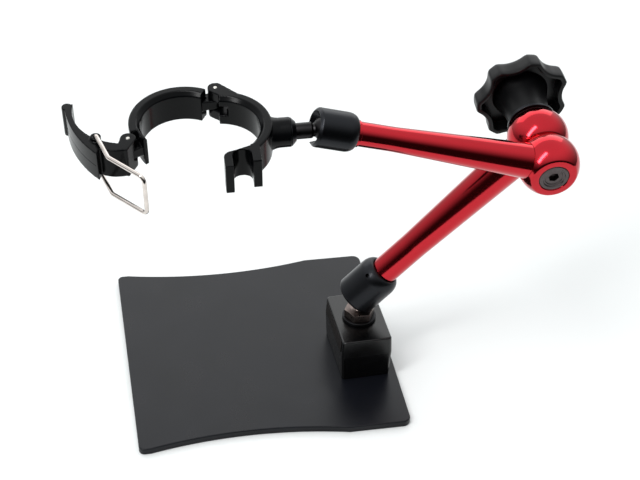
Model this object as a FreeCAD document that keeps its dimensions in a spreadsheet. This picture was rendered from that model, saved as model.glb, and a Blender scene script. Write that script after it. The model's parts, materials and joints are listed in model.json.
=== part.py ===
import FreeCAD, Part
import math
import os
import Sketcher

# Airbrush holder stand: weighted plate, block, two-part articulated arm with one central lock,
# and a hinged ring clamp with a toggle lever and wire bail. Millimetres, Z up.
# Origin: centre of the plate's underside.

os.makedirs("parts", exist_ok=True)
doc = FreeCAD.newDocument("holder_stand")
V = FreeCAD.Vector

SIZES = {
    # base plate: square sheet with the near and far edges hollowed by shallow arcs
    "plate_side": 150.0, "plate_thick": 4.0, "plate_corner": 4.5,
    "plate_arc_radius": 260.0, "plate_arc_depth": 5.8, "plate_arc_offset": -14.0,
    # block on the plate, drafted both ways from its parting line
    "block_x": 56.0, "block_y": -15.5, "block_wide": 29.0, "block_long": 43.4,
    "block_parting": 17.0, "block_high": 27.5, "block_draft": 2.6,
    "label_long": 36.0, "label_high": 8.0, "label_thick": 0.3,
    "screw_pitch": 26.0, "screw_radius": 2.5, "screw_head": 4.9, "screw_long": 14.0,
    # lower ball stud
    "lower_ball_z": 50.0, "lower_ball_r": 8.0, "lower_neck_r": 3.4, "stud_shank_r": 3.9,
    "stud_shank_deep": 12.0, "washer_r": 9.5, "washer_thick": 2.0, "hex_flats": 15.0, "hex_high": 4.7,
    # ball sockets
    "lower_nut_r": 11.85, "lower_nut_face": 5.0, "lower_lip_z": 3.2, "lower_lip_r": 7.35,
    "lower_mouth_r": 9.0, "lower_nut_straight": 13.5, "lower_nut_rear": 19.8, "lower_nut_rear_r": 8.3,
    "spanner_at": 15.2, "spanner_turn": -63.0, "spanner_r": 1.1, "spanner_foot": 9.4,
    "upper_nut_r": 9.8, "upper_nut_face": 6.4, "upper_lip_z": 2.8, "upper_lip_r": 6.12,
    "upper_mouth_r": 8.2, "upper_nut_straight": 9.8, "upper_nut_rear": 14.8, "upper_nut_rear_r": 7.0,
    "slot_wide": 8.4, "slot_deep": 7.4, "slot_turn": 105.0,
    "seat_play": 0.04, "pad_thick": 2.5, "pad_front": 4.2,
    # tubes
    "lower_arm": 137.4, "lower_tube_r": 7.75, "lower_tube_end_r": 10.1, "lower_taper_at": 43.8,
    "upper_arm": 123.0, "upper_tube_r": 6.2, "upper_tube_end_r": 9.2, "upper_taper_at": 35.9,
    "rod_r": 2.4, "rod_bore_r": 2.7, "rod_gap": 0.35, "rod_tip_at": 5.85,
    "lower_tube_seat": 12.3, "upper_tube_seat": 13.0,
    # elbow
    "elbow_r": 16.0, "elbow_gap": 20.7, "elbow_face": 10.3, "elbow_outer": 11.0,
    "spigot_r": 5.6, "spigot_long": 3.0, "bolt_r": 4.0, "bolt_bore_r": 4.1, "bolt_head_r": 7.8,
    "bolt_head": 3.4, "socket_flats": 5.0, "dish_r": 6.0, "dish_deep": 0.8,
    "wedge_low_r": 4.6, "wedge_high_r": 6.33, "wedge_bore_r": 6.4,
    # knob
    "knob_r": 25.2, "knob_rim_near": 29.0, "knob_rim_far": 39.0, "knob_skin": 2.6, "knob_roof": 3.0,
    "knob_scallop_r": 14.0, "knob_scallop_at": 35.7, "knob_neck_r": 11.2, "knob_foot": 13.1,
    "knob_waist_r": 12.2, "knob_flare_r": 15.5, "insert_r": 6.5, "knob_collar_r": 12.9,
    # ring clamp
    "ring_outer": 25.9, "ring_inner": 20.2, "ring_high": 16.5, "ring_bevel": 1.3, "hub_reach": 52.3,
    "hub_r": 7.3, "hub_end": 34.9, "jam_nut": 2.4, "upper_ball_r": 6.7, "upper_neck_r": 4.0,
    "pin_r": 1.0, "knuckle_r": 3.8, "knuckle_play": 0.1, "knuckle_mid": 2.7, "swing_room": 0.3,
    "hinge_r": 28.7, "hinge_angle": 87.5, "lever_pin_angle": 237.2, "lever_pin_r": 28.5,
    "prong_thick": 4.1, "prong_gap": 9.3, "prong_at": 0.6, "prong_reach": 31.0, "prong_step": 2.4,
    "groove_at": 23.9,
    "lever_grip": 27.1, "lever_back_r": 62.9, "lever_link_r": 17.2, "boss_r": 2.6, "boss_high": 1.75,
    "bead_r": 2.6, "bead_at": 27.8, "bead_angle": 148.6,
    "wire_r": 1.05, "wire_half": 11.2,
}
OPEN_ANGLE = 35.6      # swing jaw, from closed to the stored pose
LEVER_ANGLE = 69.0     # toggle lever, from lying on the jaw to the stored pose
BLOCK_TURN = 2.2       # block, from square with the plate

sheet = doc.addObject("Spreadsheet::Sheet", "Dims")
for row, (alias, amount) in enumerate(SIZES.items(), start=1):
    sheet.set("A%d" % row, alias)
    sheet.set("B%d" % row, str(amount))
    sheet.setAlias("B%d" % row, alias)
doc.recompute()


def split(formula):
    """Break 'a - 2*b + 1.5' into signed terms."""
    text = formula.replace(" ", "").replace("-", "+-")
    return [term for term in text.split("+") if term]


def amount_of(formula):
    total = 0.0
    for term in split(str(formula)):
        product = -1.0 if term.startswith("-") else 1.0
        for factor in term.lstrip("-").split("*"):
            product *= SIZES[factor] if factor in SIZES else float(factor)
        total += product
    return total


def bound(formula):
    terms = []
    for term in split(str(formula)):
        sign = "-" if term.startswith("-") else "+"
        factors = ["Dims." + f if f in SIZES else f for f in term.lstrip("-").split("*")]
        terms.append(sign + " " + " * ".join(factors))
    joined = " ".join(terms)
    return joined[2:] if joined.startswith("+") else "0 " + joined


def drive(feature, **formulas):
    for name, formula in formulas.items():
        setattr(feature, name, amount_of(formula))
        feature.setExpression(name, bound(formula))
    return feature


def plane_of(body, role):
    return [item for item in body.Origin.OriginFeatures if item.Role == role][0]


def sketch_on(body, role, name, height=0.0):
    sketch = body.newObject("Sketcher::SketchObject", name)
    sketch.AttachmentSupport = [(plane_of(body, role), "")]
    sketch.MapMode = "FlatFace"
    sketch.AttachmentOffset = FreeCAD.Placement(V(0, 0, height), FreeCAD.Rotation())
    return sketch


def pin_point(sketch, edge, where, x_formula, y_formula):
    """Tie one end of a sketch edge to a pair of sheet formulas."""
    for axis, kind, formula in ((-2, "DistanceX", x_formula), (-1, "DistanceY", y_formula)):
        if amount_of(formula) == 0.0:
            sketch.addConstraint(Sketcher.Constraint("PointOnObject", edge, where, axis))
            continue
        index = sketch.addConstraint(
            Sketcher.Constraint(kind, -1, 1, edge, where, amount_of(formula)))
        sketch.setExpression("Constraints[%d]" % index, bound(formula))


def outline(sketch, points):
    ends = [V(amount_of(x), amount_of(y), 0) for x, y in points]
    count = len(ends)
    for i in range(count):
        sketch.addGeometry(Part.LineSegment(ends[i], ends[(i + 1) % count]), False)
    for i in range(count):
        sketch.addConstraint(Sketcher.Constraint("Coincident", i, 2, (i + 1) % count, 1))
    for i, (x, y) in enumerate(points):
        pin_point(sketch, i, 1, x, y)


def disc(sketch, x, y, radius):
    centre = V(amount_of(x), amount_of(y), 0)
    edge = sketch.addGeometry(Part.Circle(centre, V(0, 0, 1), amount_of(radius)), False)
    pin_point(sketch, edge, 3, x, y)
    index = sketch.addConstraint(Sketcher.Constraint("Radius", edge, amount_of(radius)))
    sketch.setExpression("Constraints[%d]" % index, bound(radius))


def new_body(label):
    body = doc.addObject("PartDesign::Body", label)
    body.Label = label
    return body


def turned(label, profile, place):
    """A piece turned about its own Z axis from (radius, height) points."""
    body = new_body(label)
    sketch = sketch_on(body, "XZ_Plane", label + "_profile")
    outline(sketch, profile)
    turn = body.newObject("PartDesign::Revolution", label + "_turn")
    turn.Profile = sketch
    turn.ReferenceAxis = (sketch, ["V_Axis"])
    turn.Angle = 360.0
    body.Tip = turn
    body.Placement = place
    return body


def shape_on(body, kind, name, place, **formulas):
    """Add or cut a primitive in a body."""
    feature = body.newObject("PartDesign::" + kind, name)
    drive(feature, **formulas)
    feature.Placement = place
    body.Tip = feature
    return feature


def solid(kind, name, place, **formulas):
    feature = doc.addObject("Part::" + kind, name)
    drive(feature, **formulas)
    feature.Placement = place
    return feature


def fuse(name, shapes):
    feature = doc.addObject("Part::MultiFuse", name)
    feature.Shapes = shapes
    return feature


def common(name, shapes):
    feature = doc.addObject("Part::MultiCommon", name)
    feature.Shapes = shapes
    return feature


def cut(name, base, tools):
    feature = doc.addObject("Part::Cut", name)
    feature.Base = base
    feature.Tool = tools[0] if len(tools) == 1 else fuse(name + "_tools", tools)
    return feature


def at(x=0.0, y=0.0, z=0.0, axis=V(0, 0, 1), turn=0.0):
    return FreeCAD.Placement(V(x, y, z), FreeCAD.Rotation(axis, turn))


def frame(origin, z_axis, x_axis):
    return FreeCAD.Placement(origin, FreeCAD.Rotation(x_axis, z_axis.cross(x_axis), z_axis, "ZXY"))


# ---- where the joints are ------------------------------------------------------------------
S = SIZES
FACE_PLAY = 0.02
ELBOW_LEAN = math.radians(8.1)
LOWER_ANGLE = math.radians(50.9)
UPPER_ANGLE = math.radians(163.0)
elbow_axis = V(0, -math.cos(ELBOW_LEAN), -math.sin(ELBOW_LEAN))
across = V(1, 0, 0)
rise = V(0, -math.sin(ELBOW_LEAN), math.cos(ELBOW_LEAN))
lower_dir = across * math.cos(LOWER_ANGLE) + rise * math.sin(LOWER_ANGLE)
upper_dir = across * -math.cos(UPPER_ANGLE) - rise * math.sin(UPPER_ANGLE)

lower_ball = V(S["block_x"], S["block_y"], S["lower_ball_z"])
lower_elbow = lower_ball + lower_dir * S["lower_arm"]
upper_elbow = lower_elbow + elbow_axis * S["elbow_gap"]
upper_ball = upper_elbow - upper_dir * S["upper_arm"]
mid_elbow = (lower_elbow + upper_elbow) * 0.5

ring_turn = FreeCAD.Rotation(-2.36, -2.13, 6.0)
ring_x = ring_turn.multVec(V(1, 0, 0))
ring_z = ring_turn.multVec(V(0, 0, 1))
ring_centre = upper_ball - ring_x * S["hub_reach"]

LOWER = frame(lower_ball, lower_dir, elbow_axis)
UPPER = frame(upper_ball, upper_dir, elbow_axis)
ELBOW = frame(mid_elbow, elbow_axis, lower_dir * -1)
FAR = frame(lower_elbow, elbow_axis, lower_dir * -1)
NEAR = frame(upper_elbow, elbow_axis, upper_dir * -1)
KNOB = frame(lower_elbow, elbow_axis * -1, lower_dir * -1)
RING = FreeCAD.Placement(ring_centre, ring_turn)
STUD = frame(ring_centre, ring_x, ring_z * -1)


def polar(radius, degrees, z=0.0):
    angle = math.radians(degrees)
    return V(radius * math.cos(angle), radius * math.sin(angle), z)


hinge = polar(S["hinge_r"], S["hinge_angle"])
lever_pin = polar(S["lever_pin_r"], S["lever_pin_angle"])


def about(point, degrees):
    spin = FreeCAD.Rotation(V(0, 0, 1), degrees)
    return FreeCAD.Placement(point - spin.multVec(point), spin)


SWING = RING.multiply(about(hinge, -OPEN_ANGLE))
LEVER = SWING.multiply(about(lever_pin, LEVER_ANGLE))

# ---- base ----------------------------------------------------------------------------------
def screw_spot(side):
    """Centre of one of the two block screws on the plate."""
    reach = side * 0.5 * S["screw_pitch"]
    turn = math.radians(BLOCK_TURN)
    return V(S["block_x"] - reach * math.sin(turn), S["block_y"] + reach * math.cos(turn), 0)


plate = new_body("base_plate")
plate_sketch = sketch_on(plate, "XY_Plane", "plate_square")
half = "0.5*plate_side"
outline(plate_sketch, [("-" + half, "-" + half), (half, "-" + half), (half, half), ("-" + half, half)])
plate_pad = plate.newObject("PartDesign::Pad", "plate_pad")
plate_pad.Profile = plate_sketch
drive(plate_pad, Length="plate_thick")
plate.Tip = plate_pad
doc.recompute()
corners = []
for number, edge in enumerate(plate_pad.Shape.Edges, start=1):
    low, high = edge.BoundBox.ZMin, edge.BoundBox.ZMax
    if high - low > 0.5 * S["plate_thick"]:
        corners.append("Edge%d" % number)
plate_round = plate.newObject("PartDesign::Fillet", "plate_corners")
plate_round.Base = (plate_pad, corners)
drive(plate_round, Radius="plate_corner")
plate.Tip = plate_round
for side, name in ((1, "far"), (-1, "near")):
    hollow = sketch_on(plate, "XY_Plane", "plate_hollow_" + name)
    sign = "" if side > 0 else "-"
    other = "-" if side > 0 else ""
    centre_y = "%s0.5*plate_side %s plate_arc_radius" % (sign, "+" if side > 0 else "-")
    centre_y += " %s plate_arc_depth" % ("-" if side > 0 else "+")
    disc(hollow, "plate_arc_offset", centre_y, "plate_arc_radius")
    pocket = plate.newObject("PartDesign::Pocket", "plate_cut_" + name)
    pocket.Profile = hollow
    pocket.Type = 1
    pocket.Midplane = True
    plate.Tip = pocket
for number, side in enumerate((-1, 1)):
    spot = screw_spot(side)
    shape_on(plate, "SubtractiveCylinder", "plate_screw_hole_%d" % number, at(spot.x, spot.y, -1),
             Radius="screw_radius + 0.2", Height="plate_thick + 2")
    shape_on(plate, "SubtractiveCone", "plate_sink_%d" % number, at(spot.x, spot.y, -0.01),
             Radius1="screw_head + 0.2", Radius2="screw_radius + 0.2", Height="screw_head - screw_radius")

block = new_body("block_body")
for way, name in ((False, "upper"), (True, "lower")):
    face = sketch_on(block, "XY_Plane", "block_" + name)
    wide, long = "0.5*block_wide", "0.5*block_long"
    outline(face, [("-" + wide, "-" + long), (wide, "-" + long), (wide, long), ("-" + wide, long)])
    pad = block.newObject("PartDesign::Pad", "block_pad_" + name)
    pad.Profile = face
    pad.Reversed = way
    drive(pad, Length="block_parting" if way else "block_high - block_parting")
    pad.setExpression("TaperAngle", "0 - Dims.block_draft")
    pad.TaperAngle = -S["block_draft"]
    block.Tip = pad
BLOCK = FreeCAD.Placement(V(S["block_x"], S["block_y"], S["plate_thick"] + S["block_parting"]),
                          FreeCAD.Rotation(V(0, 0, 1), BLOCK_TURN))
block.Placement = BLOCK
shape_on(block, "SubtractiveCylinder", "block_stud_hole",
         at(0, 0, S["block_high"] - S["block_parting"] - S["stud_shank_deep"] - 1),
         Radius="stud_shank_r + 0.05", Height="stud_shank_deep + 2")
for number, side in enumerate((-1, 1)):
    shape_on(block, "SubtractiveCylinder", "block_screw_hole_%d" % number,
             at(0, side * 0.5 * S["screw_pitch"], -S["block_parting"] - 1),
             Radius="screw_radius + 0.05", Height="screw_long")

label_lean = math.radians(S["block_draft"])
label_mid = 0.5 * (S["block_high"] - S["block_parting"])
label_at = BLOCK.multiply(at(
    -0.5 * S["block_wide"] + label_mid * math.tan(label_lean) - S["label_thick"] - 0.02,
    -0.5 * S["label_long"], label_mid - 0.5 * S["label_high"]))
label_at = label_at.multiply(FreeCAD.Placement(
    V(), FreeCAD.Rotation(V(0, 1, 0), S["block_draft"]), V(S["label_thick"], 0, 0.5 * S["label_high"])))
label = solid("Box", "block_label", label_at, Length="label_thick", Width="label_long",
              Height="label_high")

screw_parts = []
for number, side in enumerate((-1, 1)):
    spot = screw_spot(side)
    shank = solid("Cylinder", "screw_shank_%d" % number, at(spot.x, spot.y, 1.0),
                  Radius="screw_radius", Height="screw_long")
    head = solid("Cone", "screw_head_%d" % number, at(spot.x, spot.y, 0.15),
                 Radius1="screw_head", Radius2="screw_radius", Height="screw_head - screw_radius")
    drive_hole = solid("Prism", "screw_drive_%d" % number, at(spot.x, spot.y, 0.0),
                       Circumradius="1.7", Height="1.8")
    drive_hole.Polygon = 6
    screw_parts.append(cut("screw_%d" % number, fuse("screw_blank_%d" % number, [shank, head]), [drive_hole]))
screws = fuse("block_screws", screw_parts)

block_top = "plate_thick + block_high"
top_z = amount_of(block_top)
washer = cut("stud_washer",
             solid("Cylinder", "washer_blank", at(S["block_x"], S["block_y"], top_z + FACE_PLAY),
                   Radius="washer_r", Height="washer_thick"),
             [solid("Cylinder", "washer_hole", at(S["block_x"], S["block_y"], top_z - 1),
                    Radius="stud_shank_r + 0.08", Height="washer_thick + 2")])

stud_foot = top_z + S["washer_thick"] + 2 * FACE_PLAY
hexagon = solid("Prism", "stud_hex", at(S["block_x"], S["block_y"], stud_foot), Height="hex_high",
                Circumradius="0.57735*hex_flats")
hexagon.Polygon = 6
hex_round = solid("Cone", "stud_hex_cone", at(S["block_x"], S["block_y"], stud_foot),
                  Radius1="0.57735*hex_flats + 2.6", Radius2="0.5*hex_flats - 0.2", Height="hex_high")
hex_trim = common("stud_hex_trim", [hexagon, hex_round])
stud_neck = solid("Cylinder", "stud_neck", at(S["block_x"], S["block_y"], stud_foot + 1),
                  Radius="lower_neck_r", Height="lower_ball_z - plate_thick - block_high - washer_thick - 4")
stud_shank = solid("Cylinder", "stud_shank", at(S["block_x"], S["block_y"], top_z - S["stud_shank_deep"]),
                   Radius="stud_shank_r", Height="stud_shank_deep + washer_thick + 1")
stud_ball = solid("Sphere", "stud_ball", at(*lower_ball), Radius="lower_ball_r")
lower_stud = fuse("lower_ball_stud", [hex_trim, stud_neck, stud_shank, stud_ball])


# ---- ball sockets and arms -----------------------------------------------------------------
def socket_nut(side, place, ball):
    """Cap nut that holds a ball: flared mouth, round rear shoulder, plain bore for the tube."""
    face, lip_z, lip_r = side + "_nut_face", side + "_lip_z", side + "_lip_r"
    outer, rear, rear_r = side + "_nut_r", side + "_nut_rear", side + "_nut_rear_r"
    straight = side + "_nut_straight"
    bore = ball + " + 0.1"
    body = turned(side + "_nut", [
        (lip_r, "-" + lip_z), (side + "_mouth_r", "-" + face), (outer + " - 0.7", "-" + face),
        (outer, "-" + face + " + 0.7"), (outer, straight),
        ("0.92*" + outer + " + 0.08*" + rear_r, "0.6*" + straight + " + 0.4*" + rear),
        ("0.6*" + outer + " + 0.4*" + rear_r, "0.2*" + straight + " + 0.8*" + rear),
        (rear_r, rear), (bore, rear), (bore, "0.1"), (lip_r, "0.1")], place)
    shape_on(body, "SubtractiveSphere", side + "_seat", at(), Radius=ball + " + seat_play")
    return body


lower_nut = socket_nut("lower", LOWER, "lower_ball_r")
upper_nut = socket_nut("upper", UPPER, "upper_ball_r")
spanner_spin = FreeCAD.Rotation(V(0, 0, 1), S["spanner_turn"])
spanner_foot = V(S["spanner_foot"], 0, S["spanner_at"])
spanner_place = FreeCAD.Placement(spanner_spin.multVec(spanner_foot),
                                  spanner_spin.multiply(FreeCAD.Rotation(V(0, 1, 0), 90)))
shape_on(lower_nut, "SubtractiveCylinder", "lower_spanner_hole", spanner_place, Radius="spanner_r", Height="5")
slot_spin = FreeCAD.Rotation(V(0, 0, 1), S["slot_turn"])
slot_foot = V(0, -0.5 * S["slot_wide"], -S["upper_nut_face"] - 1)
slot_place = FreeCAD.Placement(slot_spin.multVec(slot_foot), slot_spin)
shape_on(upper_nut, "SubtractiveBox", "upper_slot", slot_place,
         Length="upper_nut_r + 2", Width="slot_wide", Height="slot_deep + 1")


def thrust_pad(side, place, ball):
    body = turned(side + "_thrust_pad", [
        ("0", "pad_front"), (ball, "pad_front"), (ball, ball + " + pad_thick - 0.6"),
        (ball + " - 0.6", ball + " + pad_thick"), ("0", ball + " + pad_thick")], place)
    shape_on(body, "SubtractiveSphere", side + "_cup", at(), Radius=ball + " + seat_play")
    return body


lower_pad = thrust_pad("lower", LOWER, "lower_ball_r")
upper_pad = thrust_pad("upper", UPPER, "upper_ball_r")


def arm_tube(side, place, ball):
    arm, radius = side + "_arm", side + "_tube_r"
    front = ball + " + pad_thick + 0.7"
    neck = side + "_nut_rear - 1.5"
    end = arm + " - " + side + "_tube_seat"
    return turned(side + "_tube", [
        ("rod_bore_r", front), (ball + " + 0.05", front), (ball + " + 0.05", neck), (radius, neck),
        (radius, side + "_taper_at"), (side + "_tube_end_r", end), ("spigot_r", end),
        ("spigot_r", end + " + spigot_long"), ("rod_bore_r", end + " + spigot_long")], place)


lower_tube = arm_tube("lower", LOWER, "lower_ball_r")
upper_tube = arm_tube("upper", UPPER, "upper_ball_r")


def push_rod(side, place, ball):
    start = ball + " + pad_thick + rod_gap"
    tip = side + "_arm - rod_tip_at"
    return turned(side + "_push_rod", [
        ("0", start), ("rod_r", start), ("rod_r", tip + " - 1.2"), ("rod_r - 1", tip), ("0", tip)], place)


lower_rod = push_rod("lower", LOWER, "lower_ball_r")
upper_rod = push_rod("upper", UPPER, "upper_ball_r")

# ---- elbow ---------------------------------------------------------------------------------
flat = 2 * S["elbow_r"]


def elbow_ball(side, place, inner_sign):
    """Sphere with three flats: against its twin, outward, and where the tube seats."""
    body = new_body(side + "_elbow_ball")
    seat = S[side + "_tube_seat"]
    beyond = S["elbow_r"] + 1
    shape_on(body, "AdditiveSphere", side + "_elbow_round", at(), Radius="elbow_r")
    inner_z = S["elbow_face"] if inner_sign > 0 else -S["elbow_face"] - flat
    outer_z = -S["elbow_outer"] - flat if inner_sign > 0 else S["elbow_outer"]
    for name, z in (("inner", inner_z), ("outer", outer_z)):
        shape_on(body, "SubtractiveBox", side + "_flat_" + name, at(-beyond, -beyond, z),
                 Length="2*elbow_r + 2", Width="2*elbow_r + 2", Height="2*elbow_r")
    shape_on(body, "SubtractiveBox", side + "_flat_tube", at(seat, -beyond, -beyond),
             Length="elbow_r", Width="2*elbow_r + 2", Height="2*elbow_r + 2")
    sideways = at(0, 0, 0, V(0, 1, 0), 90)
    shape_on(body, "SubtractiveCylinder", side + "_rod_hole", sideways, Radius="rod_bore_r",
             Height="elbow_r")
    shape_on(body, "SubtractiveCylinder", side + "_spigot_hole",
             at(seat - S["spigot_long"] - 0.2, 0, 0, V(0, 1, 0), 90),
             Radius="spigot_r + 0.05", Height="spigot_long + 1")
    body.Placement = place
    return body


far_ball = elbow_ball("lower", FAR, 1)
near_ball = elbow_ball("upper", NEAR, -1)
shape_on(far_ball, "SubtractiveCylinder", "far_bolt_hole", at(0, 0, -S["elbow_outer"] - 1),
         Radius="bolt_bore_r", Height="2*elbow_r")
shape_on(far_ball, "SubtractiveCylinder", "far_wedge_hole", at(0, 0, -7.6),
         Radius="wedge_bore_r", Height="elbow_face + 9")
shape_on(near_ball, "SubtractiveCylinder", "near_wedge_hole", at(0, 0, -S["elbow_face"] - 1),
         Radius="wedge_bore_r", Height="elbow_face + 12")
shape_on(near_ball, "SubtractiveCylinder", "near_head_hole", at(0, 0, 6.6),
         Radius="bolt_head_r + 0.1", Height="elbow_outer")

bolt_top = "0.5*elbow_gap + elbow_outer - 0.15"
bolt = turned("central_bolt", [
    ("0", "-0.5*elbow_gap - 33"), ("bolt_r - 0.6", "-0.5*elbow_gap - 33"),
    ("bolt_r", "-0.5*elbow_gap - 32.4"), ("bolt_r", bolt_top + " - bolt_head"),
    ("bolt_head_r", bolt_top + " - bolt_head"),
    ("bolt_head_r", bolt_top), ("dish_r", bolt_top), ("dish_r - 1.4", bolt_top + " - dish_deep"),
    ("0", bolt_top + " - dish_deep")], ELBOW)
socket_tool = shape_on(bolt, "SubtractivePrism", "bolt_socket", at(0, 0, amount_of(bolt_top) - 2.9),
                       Circumradius="0.57735*socket_flats", Height="4")
socket_tool.Polygon = 6

wedge = turned("lock_wedge", [
    ("bolt_r + 0.02", "-16.5"), ("wedge_low_r", "-16.5"), ("wedge_low_r", "-14.35"),
    ("wedge_high_r", "-6.35"), ("wedge_low_r", "-4.3"), ("wedge_low_r", "6.35"),
    ("wedge_high_r", "14.35"), ("wedge_high_r", "15.2"),
    ("bolt_r + 0.02", "15.2")], ELBOW)

# ---- knob ----------------------------------------------------------------------------------
collar = turned("knob_collar", [
    ("bolt_bore_r", "elbow_outer + 0.02"), ("knob_collar_r", "elbow_outer + 0.02"),
    ("knob_collar_r", "knob_foot - 0.5"), ("knob_collar_r - 0.5", "knob_foot - 0.05"),
    ("bolt_bore_r", "knob_foot - 0.05")], KNOB)
KNOB_LOBES = 7
LOBE_START = 45.3   # one lobe tip, from the lower arm's direction


def star(name, radius, dent, low, high):
    """Lobed disc: a cylinder with a ring of round scallops."""
    start = amount_of(low)
    blank = solid("Cylinder", name + "_disc", at(0, 0, start), Radius=radius, Height=high + " - " + low)
    dents = []
    for lobe in range(KNOB_LOBES):
        spot = polar(S["knob_scallop_at"], LOBE_START + (lobe + 0.5) * 360.0 / KNOB_LOBES, start - 1)
        dents.append(solid("Cylinder", "%s_dent_%d" % (name, lobe), at(*spot), Radius=dent,
                           Height=high + " - " + low + " + 2"))
    return cut(name, blank, dents)


head = star("knob_head", "knob_r", "knob_scallop_r", "knob_rim_near", "knob_rim_far")
under = star("knob_under", "knob_r - knob_skin", "knob_scallop_r + knob_skin", "knob_rim_near - 1",
             "knob_rim_far - knob_roof")
hub = solid("Cone", "knob_hub", at(0, 0, S["knob_foot"]), Radius1="knob_neck_r", Radius2="knob_waist_r",
            Height="knob_rim_near - knob_foot - 4")
flare = solid("Cone", "knob_flare", at(0, 0, S["knob_rim_near"] - 4), Radius1="knob_waist_r",
              Radius2="knob_flare_r", Height="knob_rim_far - knob_rim_near - knob_roof + 4.5")
shell = cut("knob_shell", head, [under])
knob_bore = solid("Cylinder", "knob_bore", at(0, 0, S["knob_foot"] - 1),
                  Radius="insert_r + 0.02", Height="20")
knob_blind = solid("Cylinder", "knob_blind", at(0, 0, S["knob_foot"]), Radius="bolt_r + 0.3", Height="21")
knob = cut("knob", fuse("knob_blank", [shell, hub, flare]), [knob_bore, knob_blind])
knob.Placement = KNOB
insert = turned("knob_insert", [
    ("bolt_r + 0.05", "knob_foot + 0.1"), ("insert_r", "knob_foot + 0.1"), ("insert_r", "knob_foot + 18.8"),
    ("bolt_r + 0.05", "knob_foot + 18.8")], KNOB)

# ---- ring clamp ----------------------------------------------------------------------------
def band(name, start, sweep):
    """Curved jaw wall, bevelled inside at the top, swept through part of a turn."""
    body = new_body(name)
    half_high = "0.5*ring_high"
    sketch = sketch_on(body, "XZ_Plane", name + "_section")
    outline(sketch, [
        ("ring_inner", "-" + half_high), ("ring_outer - 0.5", "-" + half_high),
        ("ring_outer", "-" + half_high + " + 0.5"), ("ring_outer", half_high + " - 0.5"),
        ("ring_outer - 0.5", half_high), ("ring_inner + ring_bevel", half_high),
        ("ring_inner", half_high + " - 1.5*ring_bevel")])
    sweep_feature = body.newObject("PartDesign::Revolution", name + "_sweep")
    sweep_feature.Profile = sketch
    sweep_feature.ReferenceAxis = (sketch, ["V_Axis"])
    sweep_feature.Angle = sweep
    body.Tip = sweep_feature
    body.Placement = at(turn=start)
    return body


def negated(formula):
    flipped = [term[1:] if term.startswith("-") else "-" + term for term in split(formula)]
    return " + ".join(flipped).replace("+ -", "- ")


def post(name, point, radius, low, high):
    """Upright round boss or hole between two heights."""
    height = high + " + " + negated(low)
    return solid("Cylinder", name, at(point.x, point.y, amount_of(low)), Radius=radius,
                 Height=height.replace("+ -", "- "))


def bar(name, low, high, tilt=0.0, pivot=V()):
    """Plain box between two corners, turned about a pivot."""
    size = high - low
    box = solid("Box", name, about(pivot, tilt).multiply(FreeCAD.Placement(low, FreeCAD.Rotation())))
    drive(box, Length=str(round(size.x, 4)), Width=str(round(size.y, 4)), Height=str(round(size.z, 4)))
    return box


half_ring = 0.5 * S["ring_high"]
mid = S["knuckle_mid"]
play = S["knuckle_play"]
HALF_UP, HALF_DOWN = "0.5*ring_high", "-0.5*ring_high"
MID_UP, MID_DOWN = "knuckle_mid + knuckle_play", "-1*knuckle_mid - knuckle_play"
clear_r = "knuckle_r + swing_room"


def ring_plug(name, radius, extra=3.0):
    """Upright cylinder on the ring's own axis, longer than the ring."""
    return solid("Cylinder", name, at(0, 0, -half_ring - extra), Radius=radius,
                 Height="ring_high + %g" % (2 * extra))


fixed_band = band("fixed_band", -86.0, 170.0)
hub_cyl = solid("Cylinder", "hub_cyl", at(24.0, 0, 0, V(0, 1, 0), 90), Radius="hub_r", Height="hub_end - 24")
hub_flare = solid("Cone", "hub_flare", at(22.6, 0, 0, V(0, 1, 0), 90), Radius1="hub_r + 0.9",
                  Radius2="hub_r", Height="6")
hub_hole = solid("Cylinder", "hub_hole", at(27.4, 0, 0, V(0, 1, 0), 90), Radius="3.05", Height="10")
hub_blank = cut("hub_blank", fuse("hub_pieces", [hub_cyl, hub_flare]),
                [ring_plug("hub_keep", "ring_inner + 1.2")])

# fork: a long prong, a shorter one and the web between them
left_x = S["prong_at"]
groove_x = left_x + S["prong_thick"]
right_x = groove_x + S["prong_gap"]
reach = -S["prong_reach"]
prong_left = bar("prong_left", V(left_x, reach, -half_ring), V(groove_x, -21.5, half_ring))
prong_right = bar("prong_right", V(right_x, reach + S["prong_step"], -half_ring),
                  V(right_x + S["prong_thick"], -18.0, half_ring))
prong_web = bar("prong_web", V(left_x, -25.6, -half_ring), V(right_x + 1.0, -20.6, half_ring))
groove = bar("fork_groove", V(groove_x, reach - 9.0, -half_ring - 1),
             V(right_x, -S["groove_at"], half_ring + 1))
groove_floor = solid("Cylinder", "fork_floor",
                     at(groove_x + 0.5 * S["prong_gap"], -S["groove_at"], -half_ring - 1),
                     Radius="0.5*prong_gap", Height="ring_high + 2")
fork_blank = cut("fork_blank", fuse("fork_pieces", [prong_left, prong_right, prong_web]),
                 [ring_plug("fork_trim", "ring_inner")])

ear_low = post("ear_low", hinge, "knuckle_r", HALF_DOWN, MID_DOWN)
ear_high = post("ear_high", hinge, "knuckle_r", MID_UP, HALF_UP)
root_low = bar("ear_root_low", V(1.0, 21.2, -half_ring), V(7.9, 28.2, -mid - play), -26.0, hinge)
root_high = bar("ear_root_high", V(1.0, 21.2, mid + play), V(7.9, 28.2, half_ring), -26.0, hinge)
ear_blank = cut("ear_blank", fuse("ear_pieces", [ear_low, ear_high, root_low, root_high]),
                [ring_plug("ear_trim", "ring_inner + 0.5")])
mid_relief = bar("mid_relief", V(-6.0, 20.0, -mid - play), V(6.6, 33.0, mid + play))
pin_hole = post("hinge_hole", hinge, "pin_r + 0.03", HALF_DOWN, HALF_UP)
fixed_jaw = cut("fixed_jaw", fuse("fixed_blank", [fixed_band, hub_blank, fork_blank, ear_blank]),
                [groove, groove_floor, mid_relief, pin_hole, hub_hole])
fixed_jaw.Placement = RING

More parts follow.
